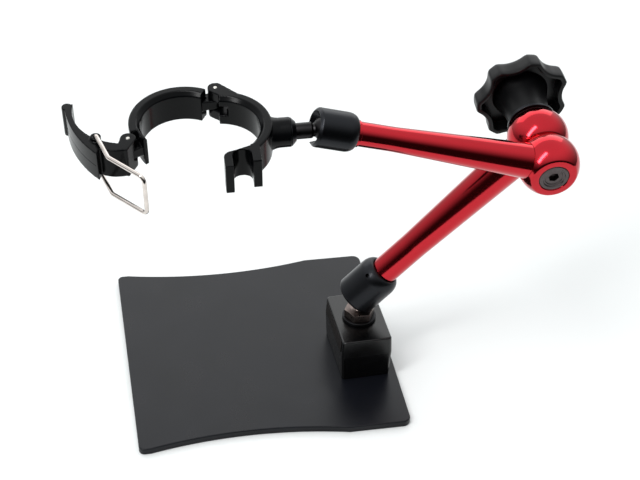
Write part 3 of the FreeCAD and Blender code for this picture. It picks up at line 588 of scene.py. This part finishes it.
# ---- arms ------------------------------------------------------------------------------------
def nut_profile(outer, face, lip_z, lip_r, mouth, straight, rear, rear_r, ball):
    """Cap nut from its lip, over the mouth, side and rounded shoulder, to the seat round the ball."""
    seat = arc(0, 0, ball + 0.04, math.degrees(math.asin(-lip_z / ball)), 0.0, 8)
    shoulder = [(rear_r + (outer - rear_r) * math.cos(turn), straight + (rear - straight) * math.sin(turn))
                for turn in (math.radians(7.5 * k) for k in range(13))]
    body = rounded([(lip_r, -lip_z, 0.2), (mouth, -face, 0.25), (outer - 1.3, -face, 0.4),
                    (outer, -face + 1.3, 1.2)] + shoulder + [(ball + 0.15, rear, 0.2), (ball + 0.15, 0.2)])
    return body + [(r, z) for r, z in seat[::-1] if z > -lip_z + 0.2]


SLOT_WIDE, SLOT_DEEP, SLOT_TURN = 8.4, 7.4, 105.0     # slot in the mouth of the upper nut
SPANNER_R, SPANNER_FOOT, SPANNER_AT, SPANNER_TURN = 1.1, 9.4, 15.2, -63.0     # blind hole in the lower nut
UPPER_FACE = 6.4                                      # mouth of the upper nut, below its ball's centre


def make_nuts():
    lower = lathe("lower_cap_nut", nut_profile(
        outer=11.85, face=5.0, lip_z=3.2, lip_r=7.35, mouth=9.0, straight=13.5, rear=19.8, rear_r=8.35,
        ball=LOWER_BALL))
    hole = column("spanner_hole", Vector((0, 0, 0)), SPANNER_R, SPANNER_FOOT, 14.0)
    lay = spun(SPANNER_TURN) @ Matrix.Translation((0, 0, SPANNER_AT)) @ spun(90.0, "Y")
    lower = eased(carved(lower, moved(hole, lay)), 0.15, 2, 40.0)
    shown(lower, LOWER, "lower_arm", "nut_black", NUT_LOOK, "lower_nut")
    upper = lathe("upper_cap_nut", nut_profile(
        outer=9.8, face=UPPER_FACE, lip_z=2.8, lip_r=6.12, mouth=8.2, straight=9.8, rear=14.8, rear_r=7.05,
        ball=UPPER_BALL))
    wide, start, end = 0.5 * SLOT_WIDE, -12.0, SLOT_DEEP - UPPER_FACE
    outline = rounded([(-wide, start), (wide, start), (wide, end, 2.4), (-wide, end, 2.4)])
    # The prism's axis turns to X and its Y to Z.
    upright = Matrix(((0, 0, 1, 0), (1, 0, 0, 0), (0, 1, 0, 0), (0, 0, 0, 1)))
    tool = moved(prism("slot", outline, 0.0, 14.0), spun(SLOT_TURN) @ upright)
    shown(eased(carved(upper, tool), 0.18, 2, 40.0), UPPER, "upper_arm", "nut_black", NUT_LOOK, "upper_nut")


def tube_profile(ball, neck, radius, taper, end, end_r):
    """Tube that screws into its nut, runs straight up to the taper and widens to its end."""
    front, bore, plug = ball + 3.2, 2.7, 5.6
    return rounded([
        (bore, front, 0.3), (ball + 0.05, front, 0.3), (ball + 0.05, neck, 0.1), (radius, neck + 0.2, 0.1),
        (radius, taper, 160.0), (end_r, end, 0.25), (plug, end), (plug, end + 3.0, 0.3),
        (bore, end + 3.0, 0.3)])


def make_tubes():
    lower = tube_profile(ball=LOWER_BALL, neck=18.4, radius=7.75, taper=43.8, end=LOWER_ARM - LOWER_SEAT,
                         end_r=10.1)
    upper = tube_profile(ball=UPPER_BALL, neck=16.4, radius=6.2, taper=35.9, end=UPPER_ARM - UPPER_SEAT,
                         end_r=9.2)
    for profile, place, body, node in ((lower, LOWER, "lower_arm", "lower_tube"),
                                       (upper, UPPER, "upper_arm", "upper_tube")):
        tube = lathe(body + "_tube", profile, FINE_STEPS)
        shown(tube, place, body, "red_anodised", RED_LOOK, node, sharp=24.0)


def elbow_profile(inner, outer, bore, head):
    """Sphere with a flat at each end and its bores, from the flat against its twin outwards."""
    way = 1.0 if outer > 0 else -1.0
    start = math.degrees(math.asin(inner / ELBOW_BALL))
    end = math.degrees(math.asin(outer / ELBOW_BALL))
    ease, shelf = way * 1.6, way * 6.6
    curve = arc(0, 0, ELBOW_BALL, start + ease, end - ease, 40)
    rim_in = math.sqrt(ELBOW_BALL ** 2 - inner ** 2)
    rim_out = math.sqrt(ELBOW_BALL ** 2 - outer ** 2)
    open_end = rounded([(rim_out, outer), (head, outer, 0.5), (head, shelf), (bore, shelf)], closed=False)
    return [(bore, inner), (rim_in - 0.5, inner)] + curve + [(rim_out - 0.45, outer)] + open_end[1:]


def make_elbow():
    far = elbow_profile(ELBOW_FACE, -ELBOW_OUTER, WEDGE_BORE, BOLT_BORE)
    far = lathe("far_elbow_ball", far, FINE_STEPS)
    near = elbow_profile(-ELBOW_FACE, ELBOW_OUTER, WEDGE_BORE, BOLT_HEAD_R + 0.1)
    near = lathe("near_elbow_ball", near, FINE_STEPS)
    for ball, seat, place, body, node in ((far, LOWER_SEAT, FAR, "lower_arm", "lower_elbow_ball"),
                                          (near, UPPER_SEAT, NEAR, "upper_arm", "upper_elbow_ball")):
        size = ELBOW_BALL + 1.0
        end = seat + size
        cutter = prism("seat", [(seat, -size), (end, -size), (end, size), (seat, size)], -size, size)
        shown(carved(ball, cutter), place, body, "red_anodised", RED_LOOK, node)

    top = 0.5 * ELBOW_GAP + ELBOW_OUTER - 0.15
    foot = -0.5 * ELBOW_GAP - 33.0
    under, step, dish = top - 3.4, top - 0.55, top - 0.95
    screw = lathe("cap_screw", rounded([
        (0, foot), (BOLT_R, foot, 0.6), (BOLT_R, under), (BOLT_HEAD_R, under, 0.2), (BOLT_HEAD_R, top, 0.45),
        (6.0, top, 0.25), (5.6, step, 0.2), (4.8, step, 0.2), (4.5, dish, 0.2), (0, dish)]))
    socket = prism("socket", hexagon(KEY_FLATS), top - 3.2, top + 1.0)
    shown(carved(screw, socket), ELBOW, "upper_arm", "bolt_black", BOLT_LOOK, "central_bolt")


# ---- knob ------------------------------------------------------------------------------------
LOBE_SOFT = 1.6                                       # blend that rounds the lobes' corners
LOBE_STEPS = 36                                       # points along one lobe's outline


def star(degrees, inset):
    """Outline radius of the lobed head, moved inwards by an inset."""
    pitch = 360.0 / KNOB_LOBES
    off = math.radians((degrees - LOBE_START) % pitch - 0.5 * pitch)
    outer, dent = KNOB_R - inset, SCALLOP_R + inset
    side = SCALLOP_AT * math.sin(off)
    if abs(side) >= dent:
        return outer
    scallop = SCALLOP_AT * math.cos(off) - math.sqrt(dent ** 2 - side ** 2)
    mix = max(0.0, min(1.0, 0.5 + 0.5 * (scallop - outer) / LOBE_SOFT))
    return scallop * (1 - mix) + outer * mix - LOBE_SOFT * mix * (1 - mix)


def make_knob():
    # Rings from the bush, through the hollow back, over the lobed skirt and on to the middle of the top.
    # Round rings give their radius, lobed ones how far they lie inside the outline.
    inner = KNOB_FAR - KNOB_ROOF
    hollow = [(0.0, 32.0), (6.52, 32.0), (6.52, KNOB_FOOT + 0.3), (6.8, KNOB_FOOT), (10.6, KNOB_FOOT),
              (11.1, KNOB_FOOT + 0.5), (11.2, 15.5), (11.5, 20.5), (12.0, 24.5), (12.6, 27.5), (13.4, 30.5),
              (14.3, 32.8), (15.2, inner - 0.6)]
    skirt = [(KNOB_SKIN + 0.5, inner - 0.3), (KNOB_SKIN, inner - 1.2), (KNOB_SKIN, KNOB_NEAR + 0.7),
             (KNOB_SKIN - 0.25, KNOB_NEAR + 0.2), (KNOB_SKIN - 0.8, KNOB_NEAR), (0.9, KNOB_NEAR),
             (0.3, KNOB_NEAR + 0.2), (0.0, KNOB_NEAR + 0.8), (0.0, 32.0), (0.05, 35.6), (0.25, 37.3),
             (0.7, 38.2), (1.4, 38.75), (2.4, KNOB_FAR)]
    cap = [(11.0, KNOB_FAR - 0.05), (9.4, KNOB_FAR - 0.1), (9.1, KNOB_FAR - 0.6), (8.6, KNOB_FAR - 0.6),
           (8.2, KNOB_FAR - 0.2), (4.0, KNOB_FAR - 0.02), (0.0, KNOB_FAR)]
    steps = KNOB_LOBES * LOBE_STEPS
    rings = []
    for kind, levels in (("round", hollow), ("star", skirt), ("round", cap)):
        for size, z in levels:
            ring = []
            for k in range(steps):
                angle = 360.0 * k / steps
                ring.append(tuple(polar(size if kind == "round" else star(angle, size), angle, z)))
            rings.append(ring)
    shown(loft("lobed_knob", rings), KNOB, "knob", "knob_black", KNOB_LOOK, "knob")
    bore, rim, low, high = 4.05, 6.5, 13.2, 31.9
    bush = lathe("knob_bush", rounded([
        (bore, low, 0.2), (rim, low, 0.3), (rim, high, 0.2), (bore, high, 0.2)]))
    shown(bush, KNOB, "knob", "insert_brass", BRASS_LOOK, "knob_insert")
    low, high = ELBOW_OUTER + 0.02, 13.0
    ring = lathe("knob_neck_ring", rounded([
        (BOLT_BORE, low, 0.1), (COLLAR_R, low, 0.3), (COLLAR_R, high, 0.5), (BOLT_BORE, high + 0.05, 0.1)]))
    shown(ring, KNOB, "lower_arm", "nut_black", NUT_LOOK, "knob_collar")


# ---- ring clamp ------------------------------------------------------------------------------
def band(name, start, sweep, inner=RING_INNER, outer=RING_OUTER):
    """Jaw wall with a flat rim and a chamfer inside its top."""
    low, high = -RING_HALF, RING_HALF
    lip = min(1.9, 0.6 * (outer - inner))
    profile = rounded([
        (inner, low, 0.3), (outer, low, 0.5), (outer, high, 0.6), (inner + lip, high, 0.12),
        (inner + 0.75 * lip, high - 0.55, 0.2), (inner, high - 2.1, 0.3)])
    return lathe(name, profile, max(24, int(sweep / 2)), start, sweep)


def column(name, spot, radius, low, high):
    """Upright cylinder."""
    pillar = lathe(name, [(0, low), (radius, low), (radius, high), (0, high)], SMALL_STEPS)
    return moved(pillar, Matrix.Translation((spot.x, spot.y, 0.0)))


def pin_hole(spot):
    return column("pin_hole", spot, PIN_R + 0.05, -TALL, TALL)


def ear_room(name, spot, half):
    """Space in which the other piece's ear turns."""
    return column(name, spot, KNUCKLE_R + 0.3, -half, half)


def ring_bore():
    return lathe("bore", [(0, -TALL), (RING_INNER, -TALL), (RING_INNER, TALL), (0, TALL)], 180)


def knuckle(name, pin, anchors, low, high):
    """Hinge ear: a round boss that runs into the wall."""
    points = arc(pin.x, pin.y, KNUCKLE_R, 0, 360, 48)
    points += [tuple(anchor.xy) for anchor in anchors]
    return prism(name, hull(points), low, high)


def make_fixed_jaw():
    wall = band("clamp_fixed_jaw", -77.5, 161.5)
    roots = [polar(22.4, 83), polar(22.0, 74), polar(25.8, 64)]
    ears = [knuckle("ear_low", hinge, roots, -RING_HALF, -EAR_GAP),
            knuckle("ear_high", hinge, roots, EAR_GAP, RING_HALF)]
    flare = [(HUB_R + more, z) for more, z in ((2.6, 22.4), (1.5, 24.4), (0.7, 26.0), (0.2, 27.6))]
    hub = lathe("hub", [(0, 22.4)] + flare + [
        (HUB_R, 29.2), (HUB_R, HUB_END - 0.3), (HUB_R - 0.3, HUB_END), (0, HUB_END)])
    hub = moved(hub, spun(90.0, "Y"))
    slab = [(15, -15), (40, -15), (40, 15), (15, 15)]
    hub = carved(hub, prism("trim", slab, -20, -RING_HALF), prism("trim", slab, RING_HALF, 20))
    left = PRONG_LEFT
    inner = left + PRONG_THICK
    right = inner + PRONG_GAP
    corner = 4.2
    outer_prong = arc(left + corner, -20.0 - corner, corner, 90, 180, 12)
    outer_prong += [(left, -PRONG_REACH), (inner, -PRONG_REACH), (inner + 2.2, -19.4)]
    far_side = right + PRONG_THICK
    inner_prong = [(right, -28.6), (far_side, -28.6), (far_side, -18.0), (right, -16.0)]
    web = [(left + 2.0, -21.0), (inner, -25.5), (right + 1.0, -25.5), (right + 1.0, -16.5), (9.0, -18.6)]
    fork = [prism("prong", hull(outline), -RING_HALF, RING_HALF)
            for outline in (outer_prong, inner_prong, web)]
    floor_y = -24.0 + 0.5 * PRONG_GAP
    groove = rounded([(inner, -40.0), (right, -40.0), (right, floor_y, 4.3), (inner, floor_y, 4.3)])
    relief = [(-6.0, 19.0), (6.6, 19.0), (6.6, 33.5), (-6.0, 33.5)]
    jaw = moulded([wall, hub] + ears + fork, [
        prism("groove", groove, -TALL, TALL), prism("relief", relief, -EAR_GAP, EAR_GAP), ring_bore(),
        pin_hole(hinge)])
    shown(jaw, RING, "ring", "clamp_black", CLAMP_LOOK, "fixed_jaw", sharp=MOULDED_ANGLE)


def make_swing_jaw():
    angle = math.degrees(math.atan2(lever_pin.y, lever_pin.x)) % 360.0
    skin = RING_INNER + 0.3
    step = lathe("step", [(18.0, -TALL), (skin, -TALL), (skin, TALL), (18.0, TALL)], 40, 205.0, 45.0)
    wall = skinned(
        [band("clamp_swing_jaw", 95.5, 133.0), band("lip", 225.0, 22.4, RING_INNER, RING_INNER + 2.4)],
        [ear_room("ear_room", hinge, TALL), ear_room("lever_room", lever_pin, TALL), step])
    hinge_roots = [polar(21.0, 97), polar(20.6, 108), polar(25.6, 108)]
    lever_roots = [polar(25.4, angle - 10), polar(21.0, angle - 10), polar(20.7, angle + 7)]
    ears = [knuckle("ear", pin, roots, -KNUCKLE_MID, KNUCKLE_MID)
            for pin, roots in ((hinge, hinge_roots), (lever_pin, lever_roots))]
    jaw = moulded([wall] + ears, [pin_hole(hinge), pin_hole(lever_pin), ring_bore()])
    shown(jaw, SWING, "swing_jaw", "clamp_black", CLAMP_LOOK, "swing_jaw", sharp=MOULDED_ANGLE)


GRIP = (-1.35, -5.2, 27.1)      # blade's inner curve: centre and radius
BACK = (29.3, -17.2, 62.9)      # blade's flatter outer curve
LINK = (-14.5, -14.0, 17.2)     # link back to the hinge
BEAD_R, BEAD_AT, BEAD_ANGLE = 2.6, 27.8, 148.6        # rounded finger tip
BOSS_R, BOSS_PROUD = 2.6, 1.7   # bosses that hold the wire
SEAM_HALF, SEAM_DEEP = 0.16, 0.3


def crossing(circle, degrees):
    """Where a ray from the ring's centre leaves a circle."""
    x, y, radius = circle
    way = polar(1.0, degrees)
    along = way.x * x + way.y * y
    across = way.x * y - way.y * x
    return along + math.sqrt(radius ** 2 - across ** 2)


def sector(inner, outer, start, end, steps=28):
    """Outline between two curves, each given as a radius for an angle."""
    angles = [start + (end - start) * k / steps for k in range(steps + 1)]
    there = [tuple(polar(inner(a), a).xy) for a in angles]
    back = [tuple(polar(outer(a), a).xy) for a in reversed(angles)]
    return there + back


def make_lever():
    def grip(angle):
        return crossing(GRIP, angle)

    def back(angle):
        return crossing(BACK, angle)

    def link(angle):
        return crossing(LINK, angle)

    blade = prism("clamp_lever", sector(grip, back, 145.0, 215.4), -RING_HALF, RING_HALF)
    bead = column("bead", polar(BEAD_AT, BEAD_ANGLE), BEAD_R, -RING_HALF, RING_HALF)
    tail = prism("link", sector(grip, link, 210.0, 236.0), -RING_HALF, RING_HALF)
    neck_at, neck_half = 8.4, 2.6
    roots = [lever_pin + polar(neck_at, 214) + polar(side * neck_half, 124) for side in (-1, 1)]
    ears = knuckle("ears", lever_pin, roots, -RING_HALF, RING_HALF)
    boss = column("boss", lug, BOSS_R, -RING_HALF - BOSS_PROUD, RING_HALF + BOSS_PROUD)
    slot = prism("slot", [(20.0, -7.5), (29.0, -7.5), (29.0, 7.5), (20.0, 7.5)], -EAR_GAP, EAR_GAP)
    slot = moved(slot, spun(math.degrees(math.atan2(lever_pin.y, lever_pin.x))))
    holes = [column("wire_hole", lug, WIRE_R + 0.08, low, high) for low, high in ((5.0, TALL), (-TALL, -5.0))]
    holes += [ear_room("ear_slot", lever_pin, EAR_GAP), slot, pin_hole(lever_pin)]
    seam = prism("seam", sector(lambda a: back(a) - SEAM_DEEP, lambda a: back(a) + 1.0, 157.0, 213.5),
                 -SEAM_HALF, SEAM_HALF)
    lever = carved(moulded([blade, bead, tail, ears, boss], holes), seam)
    shown(lever, LEVER, "lever", "clamp_black", CLAMP_LOOK, "lever", sharp=MOULDED_ANGLE)


def make_pins():
    half = RING_HALF + 0.12
    profile = rounded([(0, -half), (PIN_R, -half, 0.3), (PIN_R, half, 0.3), (0, half)])
    for name, node, body, spot, place in (("jaw_pin", "jaw_hinge_pin", "ring", hinge, RING),
                                          ("lever_pin", "lever_hinge_pin", "swing_jaw", lever_pin, SWING)):
        pin = lathe(name, profile, 32)
        shown(pin, place @ Matrix.Translation(spot), body, "pin_steel", STEEL_LOOK, node)


def bent(points, radius):
    """3-D route with an arc at each inner corner."""
    steps = 8
    route = [points[0]]
    for before, here, after in zip(points, points[1:], points[2:]):
        back, ahead = (before - here), (after - here)
        half = 0.5 * back.angle(ahead)
        reach = min(radius / math.tan(half), 0.48 * back.length, 0.48 * ahead.length)
        size = reach * math.tan(half)
        centre = here + (back.normalized() + ahead.normalized()).normalized() * (size / math.sin(half))
        first = here + back.normalized() * reach - centre
        line = back.cross(ahead).normalized()
        sweep = math.pi - 2 * half
        for k in range(steps + 1):
            route.append(centre + Matrix.Rotation(-sweep * k / steps, 3, line) @ first)
    return route + [points[-1]]


def make_bail():
    start = about(lever_pin, LEVER_ANGLE) @ lug
    bend, corner = Vector((-13.6, -42.9, 0.0)), Vector((8.6, -47.3, 0.0))
    lift, hook = Vector((0, 0, WIRE_HALF)), Vector((0, 0, RING_HALF - 2.6))
    route = bent([start + hook, start + lift, bend + lift, corner + lift,
                  corner - lift, bend - lift, start - lift, start - hook], WIRE_BEND)
    curve = bpy.data.curves.new("bail", "CURVE")
    curve.dimensions = "3D"
    curve.bevel_depth = WIRE_R
    curve.bevel_resolution = 6
    curve.use_fill_caps = True
    spline = curve.splines.new("POLY")
    spline.points.add(len(route) - 1)
    for point, spot in zip(spline.points, route):
        point.co = (*spot, 1.0)
    holder = added("bail_curve", curve)
    bpy.context.view_layer.update()
    mesh = bpy.data.meshes.new_from_object(holder.evaluated_get(bpy.context.evaluated_depsgraph_get()))
    bpy.data.objects.remove(holder, do_unlink=True)
    shown(added("wire_bail", mesh), SWING, "bail", "wire_nickel", WIRE_LOOK, "bail_wire", sharp=50.0)


def make_upper_stud():
    neck_r = 4.0
    tip = arc(0, HUB_REACH, UPPER_BALL, -58.0, 90.0, 28)
    stem = rounded([
        (0, 28.0), (2.7, 28.0, 0.5), (3.0, 29.0, 0.3), (3.0, HUB_END - 1.0, 0.2), (neck_r, HUB_END, 0.3),
        (neck_r, HUB_REACH - 7.4, 0.5), (3.3, HUB_REACH - 6.2, 0.4)])
    stud = lathe("clamp_ball_stud", stem + tip)
    shown(stud, STUD, "ring", "bolt_black", NECK_LOOK, "upper_ball_stud")
    nut = lathe("hub_nut", rounded([(4.06, HUB_END + 0.05, 0.1), (HUB_R - 0.1, HUB_END + 0.05, 0.15),
                                    (4.9, HUB_END + 2.4, 0.3), (4.06, HUB_END + 2.4, 0.1)]))
    shown(nut, STUD, "upper_tilt", "nut_black", NUT_LOOK, "hub_jam_nut")


INNER_LOOKS = {
    "lower_thrust_pad": NYLON_LOOK, "upper_thrust_pad": NYLON_LOOK, "lower_push_rod": STEEL_LOOK,
    "upper_push_rod": STEEL_LOOK, "lock_wedge": STEEL_LOOK,
}


def dress_inner_nodes():
    """The pieces inside the arm keep their CAD shape."""
    for name, look in INNER_LOOKS.items():
        node = frame["nodes"][name]
        node.data.materials.clear()
        node.data.materials.append(look)


# ---- studio ----------------------------------------------------------------------------------
TENT_LEAN = (0.42, 0.91)            # direction the tent's brightness grows towards, in Y and Z
TENT_DARK, TENT_BRIGHT = -0.25, 0.75
TENT_SHADE, TENT_GLOW = 0.03, 1.05


def make_floor():
    left, right, near, far = -900.0, 900.0, -300.0, 900.0
    floor = prism("studio_floor", [(left, near), (right, near), (right, far), (left, far)], -2.0, 0.0)
    floor.data.transform(Matrix.Scale(MM, 4))
    look = Look("floor_paper", (0.86, 0.875, 0.87), 0.75)
    look.tinted(2.0, 0.01).smudged(3.0, 0.05)
    floor.data.materials.append(look.material)


def make_light(name, ends, target, width, glow):
    """Strip softbox that runs between two points and faces a third; glow is its radiance."""
    first, last = Vector(ends[0]), Vector(ends[1])
    centre = 0.5 * (first + last)
    out = (centre - Vector(target)).normalized()
    along = (last - first) - out * out.dot(last - first)
    lamp = bpy.data.lights.new(name, "AREA")
    lamp.shape = "RECTANGLE"
    lamp.size, lamp.size_y = width, along.length
    lamp.energy = glow * math.pi * width * along.length
    along.normalize()
    across = along.cross(out)
    obj = added(name, lamp)
    obj.matrix_world = Matrix((across, along, out)).transposed().to_4x4()
    obj.location = centre
    obj.visible_camera = False


def make_world():
    """Tent of light over the back and top, dark low down on the open side that faces -Y."""
    world = bpy.data.worlds.new("tent")
    bpy.context.scene.world = world
    world.use_nodes = True
    tree = world.node_tree
    link = tree.links.new
    background = tree.nodes["Background"]
    coords = tree.nodes.new("ShaderNodeTexCoord")
    lean = tree.nodes.new("ShaderNodeVectorMath")
    lean.operation = "DOT_PRODUCT"
    lean.inputs[1].default_value = (0.0, TENT_LEAN[0], TENT_LEAN[1])
    link(coords.outputs["Generated"], lean.inputs[0])
    span = tree.nodes.new("ShaderNodeMapRange")
    span.interpolation_type = "SMOOTHSTEP"
    span.inputs["From Min"].default_value = TENT_DARK
    span.inputs["From Max"].default_value = TENT_BRIGHT
    span.inputs["To Min"].default_value = TENT_SHADE
    span.inputs["To Max"].default_value = TENT_GLOW
    link(lean.outputs["Value"], span.inputs["Value"])
    seen = tree.nodes.new("ShaderNodeLightPath").outputs["Is Camera Ray"]
    pale = tree.nodes.new("ShaderNodeMix")
    link(seen, pale.inputs["Factor"])
    link(span.outputs["Result"], pale.inputs["A"])
    pale.inputs["B"].default_value = 1.0
    background.inputs["Color"].default_value = (0.965, 0.99, 1.0, 1.0)
    link(pale.outputs["Result"], background.inputs["Strength"])


def make_camera():
    eye = Vector((-100.68, -671.43, 600.13)) * MM
    right = Vector((0.98368, -0.17790, 0.02693))
    up = Vector((0.08701, 0.60132, 0.79426))
    back = Vector((-0.15749, -0.77895, 0.60699))
    camera = bpy.data.cameras.new("camera")
    camera.sensor_width = 36.0
    camera.lens = 87.19
    obj = added("camera", camera)
    obj.matrix_world = Matrix.Translation(eye) @ Matrix((right, up, back)).transposed().to_4x4()
    bpy.context.scene.camera = obj


make_plate()
make_block()
make_screws()
make_stud()
make_nuts()
make_tubes()
make_elbow()
make_knob()
make_upper_stud()
make_fixed_jaw()
make_swing_jaw()
make_lever()
make_pins()
make_bail()
dress_inner_nodes()
make_floor()
make_light("strip", ends=((-0.46, -0.35, 0.49), (-0.06, -0.19, 0.88)), target=(0.15, -0.05, 0.17),
           width=0.12, glow=13.0)
make_light("back", ends=((-0.90, 1.05, 0.75), (1.10, 1.05, 0.75)), target=(0.05, 0.0, 0.12),
           width=0.80, glow=1.05)
make_world()
make_camera()
bpy.context.scene.view_settings.view_transform = "Standard"
